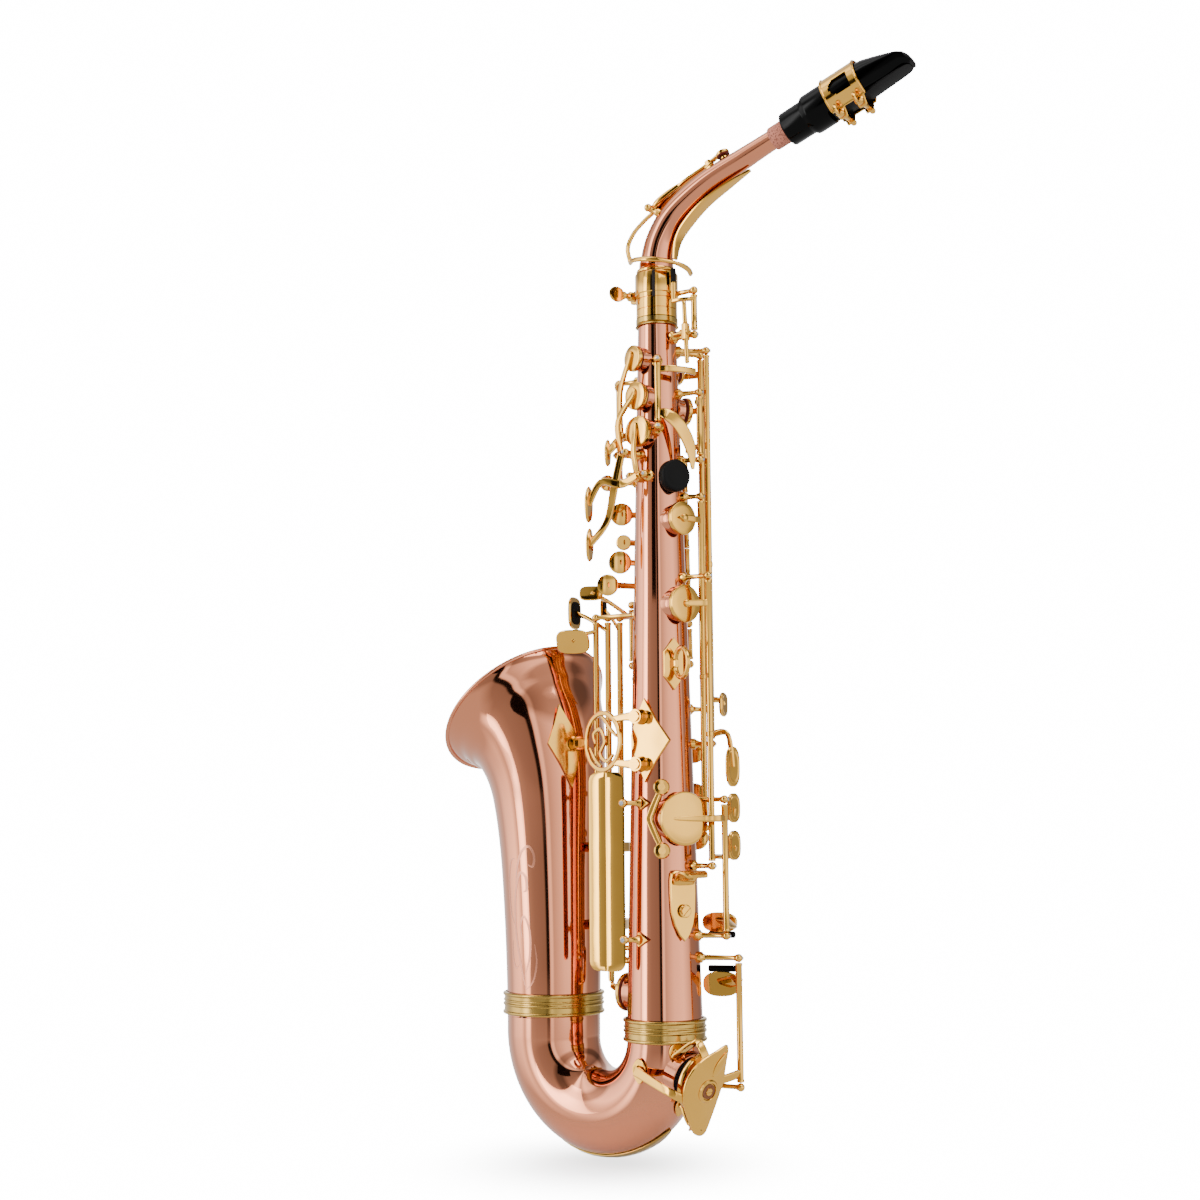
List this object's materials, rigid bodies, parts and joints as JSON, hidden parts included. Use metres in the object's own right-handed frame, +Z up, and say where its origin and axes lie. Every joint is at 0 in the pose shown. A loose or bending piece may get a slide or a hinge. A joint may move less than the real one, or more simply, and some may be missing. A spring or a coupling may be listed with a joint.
{
  "type": "alto saxophone",
  "caption": "Curved alto saxophone with a rose-copper body, gold keys, neck and mouthpiece; keys, neck and mouthpiece move.",
  "frame": {"origin": "centre of the strap ring, which carries the instrument in use", "axes": "+Z up along the body tube, -X towards the bell, +X towards the player, -Y to the player's left"},
  "size_m": [0.3567, 0.119, 0.6957],
  "materials": {
    "rose_lacquer": "rose-copper tinted clear lacquer, polished",
    "gold_lacquer": "gold lacquer, polished",
    "satin_brass": "satin brass",
    "black_resin": "glossy black resin",
    "black_plastic": "matte black",
    "cork": "speckled cork",
    "cane": "plain cane"
  },
  "bodies": {
    "body": {"body_tube": "rose_lacquer", "bow": "rose_lacquer", "bell": "rose_lacquer", "body_bow_ferrule": "satin_brass", "bell_bow_ferrule": "satin_brass", "neck_receiver": "satin_brass", "thumb_hook": "gold_lacquer", "thumb_hook_screw": "gold_lacquer", "thumb_rest": "black_plastic", "strap_ring": "gold_lacquer", "bell_brace": "gold_lacquer", "rod_guard_plate": "gold_lacquer", "low_c_guard": "gold_lacquer", "low_e_flat_guard": "gold_lacquer", "bell_key_guard": "gold_lacquer", "bow_guard_plate": "satin_brass"},
    "neck": {"neck_tube": "rose_lacquer", "neck_cork": "cork", "neck_brace": "gold_lacquer"},
    "mouthpiece": {"mouthpiece": "black_resin", "reed": "cane", "ligature": "gold_lacquer"},
    "a_key": {"a_key": "gold_lacquer"},
    "b_key": {"b_key": "gold_lacquer"},
    "bis_key": {"bis_key": "gold_lacquer"},
    "body_octave_key": {"body_octave_key": "gold_lacquer"},
    "c_key": {"c_key": "gold_lacquer"},
    "c_roller": {"c_roller": "black_plastic"},
    "d_key": {"d_key": "gold_lacquer"},
    "e_flat_roller": {"e_flat_roller": "black_plastic"},
    "e_key": {"e_key": "gold_lacquer"},
    "f_key": {"f_key": "gold_lacquer"},
    "f_sharp_key": {"f_sharp_key": "gold_lacquer"},
    "front_f_key": {"front_f_key": "gold_lacquer"},
    "g_key": {"g_key": "gold_lacquer"},
    "g_sharp_key": {"g_sharp_key": "gold_lacquer"},
    "g_sharp_touch": {"g_sharp_touch": "gold_lacquer"},
    "high_f_sharp_key": {"high_f_sharp_key": "gold_lacquer"},
    "ligature_screw_1": {"ligature_screw_1": "gold_lacquer"},
    "ligature_screw_2": {"ligature_screw_2": "gold_lacquer"},
    "low_b_flat_key": {"low_b_flat_key": "gold_lacquer"},
    "low_b_key": {"low_b_key": "gold_lacquer"},
    "low_c_key": {"low_c_key": "gold_lacquer"},
    "low_c_sharp_key": {"low_c_sharp_key": "gold_lacquer"},
    "low_e_flat_key": {"low_e_flat_key": "gold_lacquer"},
    "neck_clamp_screw": {"neck_clamp_screw": "gold_lacquer"},
    "neck_octave_key": {"neck_octave_key": "gold_lacquer"},
    "octave_pin_lever": {"octave_pin_lever": "gold_lacquer"},
    "octave_rocker": {"octave_rocker": "gold_lacquer"},
    "octave_thumb_lever": {"octave_thumb_lever": "gold_lacquer"},
    "palm_d_key": {"palm_d_key": "gold_lacquer"},
    "palm_e_flat_key": {"palm_e_flat_key": "gold_lacquer"},
    "palm_f_key": {"palm_f_key": "gold_lacquer"},
    "side_b_flat_key": {"side_b_flat_key": "gold_lacquer"},
    "side_c_key": {"side_c_key": "gold_lacquer"},
    "side_e_key": {"side_e_key": "gold_lacquer"}
  },
  "joints": [
    {"name": "neck_turn", "type": "hinge", "parent": "body", "child": "neck", "pos_m": [-0.02797, 0.01425, 0.263], "axis": [0, 0, 1], "range_deg": [-15, 15]},
    {"name": "mouthpiece_slide", "type": "slide", "parent": "neck", "child": "mouthpiece", "axis": [0.9231, 0.1297, 0.3621], "range_m": [-0.003, 0.008]},
    {"name": "a_key_turn", "type": "hinge", "parent": "body", "child": "a_key", "pos_m": [-0.02523, 0.04032, 0.0699], "axis": [0.0027, 0.0252, -0.9997], "range_deg": [-7, 0], "stiffness_Nm_per_rad": 0.05, "springref_deg": 17.19},
    {"name": "b_key_turn", "type": "hinge", "parent": "body", "child": "b_key", "pos_m": [-0.02533, 0.03934, 0.1086], "axis": [0.0027, 0.0252, -0.9997], "range_deg": [-7, 0], "stiffness_Nm_per_rad": 0.05, "springref_deg": 17.19},
    {"name": "bis_key_turn", "type": "hinge", "parent": "body", "child": "bis_key", "pos_m": [-0.02528, 0.03982, 0.0897], "axis": [0.0027, 0.0252, -0.9997], "range_deg": [-7, 0], "stiffness_Nm_per_rad": 0.05, "springref_deg": 17.19},
    {"name": "body_octave_key_turn", "type": "hinge", "parent": "body", "child": "body_octave_key", "pos_m": [-0.00039, 0.02321, 0.1575], "axis": [0, 0, -1], "range_deg": [0, 5], "stiffness_Nm_per_rad": 0.05, "springref_deg": -17.19},
    {"name": "c_key_turn", "type": "hinge", "parent": "body", "child": "c_key", "pos_m": [-0.02537, 0.03891, 0.1257], "axis": [0.0027, 0.0252, -0.9997], "range_deg": [-7, 0], "stiffness_Nm_per_rad": 0.05, "springref_deg": 17.19},
    {"name": "c_roller_turn", "type": "hinge", "parent": "low_c_key", "child": "c_roller", "pos_m": [-0.00411, 0.04446, -0.1955], "axis": [0.9063, 0.4226, 0], "continuous": true},
    {"name": "d_key_turn", "type": "hinge", "parent": "body", "child": "d_key", "pos_m": [-0.0582, 0.02292, -0.117], "axis": [0.0244, -0.007, 0.9997], "range_deg": [-7, 0], "stiffness_Nm_per_rad": 0.05, "springref_deg": 17.19},
    {"name": "e_flat_roller_turn", "type": "hinge", "parent": "low_e_flat_key", "child": "e_flat_roller", "pos_m": [-0.00511, 0.04607, -0.174], "axis": [0.9659, 0.2588, 0], "continuous": true},
    {"name": "e_key_turn", "type": "hinge", "parent": "body", "child": "e_key", "pos_m": [-0.0574, 0.02269, -0.084], "axis": [0.0244, -0.007, 0.9997], "range_deg": [-7, 0], "stiffness_Nm_per_rad": 0.05, "springref_deg": 17.19},
    {"name": "f_key_turn", "type": "hinge", "parent": "body", "child": "f_key", "pos_m": [-0.05661, 0.02246, -0.0517], "axis": [0.0244, -0.007, 0.9997], "range_deg": [-7, 0], "stiffness_Nm_per_rad": 0.05, "springref_deg": 17.19},
    {"name": "f_sharp_key_turn", "type": "hinge", "parent": "body", "child": "f_sharp_key", "pos_m": [-0.0559, 0.02226, -0.0225], "axis": [0.0244, -0.007, 0.9997], "range_deg": [-7, 0], "stiffness_Nm_per_rad": 0.05, "springref_deg": 17.19},
    {"name": "front_f_key_turn", "type": "hinge", "parent": "body", "child": "front_f_key", "pos_m": [-0.05488, 0.00653, 0.157], "axis": [0, 0, -1], "range_deg": [0, 5], "stiffness_Nm_per_rad": 0.05, "springref_deg": -17.19},
    {"name": "g_key_turn", "type": "hinge", "parent": "body", "child": "g_key", "pos_m": [-0.02516, 0.04092, 0.0461], "axis": [0.0027, 0.0252, -0.9997], "range_deg": [-7, 0], "stiffness_Nm_per_rad": 0.05, "springref_deg": 17.19},
    {"name": "g_sharp_key_turn", "type": "hinge", "parent": "body", "child": "g_sharp_key", "pos_m": [-0.02508, 0.04168, 0.016], "axis": [0.0027, 0.0252, -0.9997], "range_deg": [0, 5], "stiffness_Nm_per_rad": 0.05, "springref_deg": -17.19},
    {"name": "g_sharp_touch_turn", "type": "hinge", "parent": "body", "child": "g_sharp_touch", "pos_m": [-0.06397, 0.02925, 0.0235], "axis": [0, 0, -1], "range_deg": [0, 5], "stiffness_Nm_per_rad": 0.05, "springref_deg": -17.19},
    {"name": "high_f_sharp_key_turn", "type": "hinge", "parent": "body", "child": "high_f_sharp_key", "pos_m": [-0.01247, 0.0411, 0.091], "axis": [0, 0, -1], "range_deg": [0, 6], "stiffness_Nm_per_rad": 0.05, "springref_deg": -17.19},
    {"name": "ligature_screw_1_turn", "type": "hinge", "parent": "mouthpiece", "child": "ligature_screw_1", "pos_m": [0.11159, 0.03386, 0.34242], "axis": [0.1392, -0.9903, 0], "range_deg": [-90, 90]},
    {"name": "ligature_screw_2_turn", "type": "hinge", "parent": "mouthpiece", "child": "ligature_screw_2", "pos_m": [0.12452, 0.03568, 0.34749], "axis": [0.1392, -0.9903, 0], "range_deg": [-90, 90]},
    {"name": "low_b_flat_key_turn", "type": "hinge", "parent": "body", "child": "low_b_flat_key", "pos_m": [-0.07897, 0.00925, -0.078], "axis": [0, 0, -1], "range_deg": [-7, 0], "stiffness_Nm_per_rad": 0.05, "springref_deg": 17.19},
    {"name": "low_b_key_turn", "type": "hinge", "parent": "body", "child": "low_b_key", "pos_m": [-0.07397, 0.01575, -0.074], "axis": [0, 0, -1], "range_deg": [-7, 0], "stiffness_Nm_per_rad": 0.05, "springref_deg": 17.19},
    {"name": "low_c_key_turn", "type": "hinge", "parent": "body", "child": "low_c_key", "pos_m": [0.01855, 0.03118, -0.227], "axis": [0, 0, 1], "range_deg": [-10, 0], "stiffness_Nm_per_rad": 0.05, "springref_deg": 17.19},
    {"name": "low_c_sharp_key_turn", "type": "hinge", "parent": "body", "child": "low_c_sharp_key", "pos_m": [-0.06897, 0.02225, -0.078], "axis": [0, 0, -1], "range_deg": [0, 6], "stiffness_Nm_per_rad": 0.05, "springref_deg": -17.19},
    {"name": "low_e_flat_key_turn", "type": "hinge", "parent": "body", "child": "low_e_flat_key", "pos_m": [0.01357, 0.02538, -0.13], "axis": [0, 0, 1], "range_deg": [0, 6], "stiffness_Nm_per_rad": 0.05, "springref_deg": -17.19},
    {"name": "neck_clamp_screw_turn", "type": "hinge", "parent": "body", "child": "neck_clamp_screw", "pos_m": [-0.04684, 0.01491, 0.251], "axis": [-0.2588, -0.9659, 0], "range_deg": [-90, 90]},
    {"name": "neck_octave_key_turn", "type": "hinge", "parent": "neck", "child": "neck_octave_key", "pos_m": [-0.02856, 0.01417, 0.307], "axis": [0.1392, -0.9903, 0], "range_deg": [0, 2.4], "stiffness_Nm_per_rad": 0.05, "springref_deg": -17.19},
    {"name": "octave_pin_lever_turn", "type": "hinge", "parent": "body", "child": "octave_pin_lever", "pos_m": [0.00199, 0.01582, 0.232], "axis": [0, 0, 1], "range_deg": [0, 2], "stiffness_Nm_per_rad": 0.05, "springref_deg": -17.19},
    {"name": "octave_rocker_turn", "type": "hinge", "parent": "body", "child": "octave_rocker", "pos_m": [-0.00226, 0.01109, 0.2185], "axis": [0.9925, -0.1219, 0], "range_deg": [0, 2], "stiffness_Nm_per_rad": 0.05, "springref_deg": -17.19},
    {"name": "octave_thumb_lever_turn", "type": "hinge", "parent": "body", "child": "octave_thumb_lever", "pos_m": [-0.01351, -0.00426, 0.1775], "axis": [-0.0156, 0.02, 0.9997], "range_deg": [0, 4], "stiffness_Nm_per_rad": 0.05, "springref_deg": -17.19},
    {"name": "palm_d_key_turn", "type": "hinge", "parent": "body", "child": "palm_d_key", "pos_m": [-0.02873, -0.00758, 0.124], "axis": [0.9994, -0.0349, 0], "range_deg": [0, 5], "stiffness_Nm_per_rad": 0.05, "springref_deg": -17.19},
    {"name": "palm_e_flat_key_turn", "type": "hinge", "parent": "body", "child": "palm_e_flat_key", "pos_m": [-0.03979, -0.00998, 0.139], "axis": [0.8988, -0.4384, 0], "range_deg": [0, 6], "stiffness_Nm_per_rad": 0.05, "springref_deg": -17.19},
    {"name": "palm_f_key_turn", "type": "hinge", "parent": "body", "child": "palm_f_key", "pos_m": [-0.04627, -0.00223, 0.152], "axis": [0.6691, -0.7431, 0], "range_deg": [0, 6], "stiffness_Nm_per_rad": 0.05, "springref_deg": -17.19},
    {"name": "side_b_flat_key_turn", "type": "hinge", "parent": "body", "child": "side_b_flat_key", "pos_m": [0.00806, 0.01867, -0.036], "axis": [0, 0, 1], "range_deg": [0, 7], "stiffness_Nm_per_rad": 0.05, "springref_deg": -17.19},
    {"name": "side_c_key_turn", "type": "hinge", "parent": "body", "child": "side_c_key", "pos_m": [-0.00239, 0.02564, 0.003], "axis": [0, 0, 1], "range_deg": [0, 7], "stiffness_Nm_per_rad": 0.05, "springref_deg": -17.19},
    {"name": "side_e_key_turn", "type": "hinge", "parent": "body", "child": "side_e_key", "pos_m": [-0.00134, 0.03289, 0.0795], "axis": [0, 0, -1], "range_deg": [0, 6], "stiffness_Nm_per_rad": 0.05, "springref_deg": -17.19}
  ],
  "couplings": [
    {"joint": "g_sharp_key_turn", "follows": "g_sharp_touch_turn", "ratio": 1},
    {"joint": "f_sharp_key_turn", "follows": "f_key_turn", "ratio": 1},
    {"joint": "c_key_turn", "follows": "b_key_turn", "ratio": 1},
    {"joint": "octave_pin_lever_turn", "follows": "octave_thumb_lever_turn", "ratio": 0.5},
    {"joint": "neck_octave_key_turn", "follows": "octave_thumb_lever_turn", "ratio": 0.6},
    {"joint": "octave_rocker_turn", "follows": "octave_thumb_lever_turn", "ratio": 0.5}
  ]
}
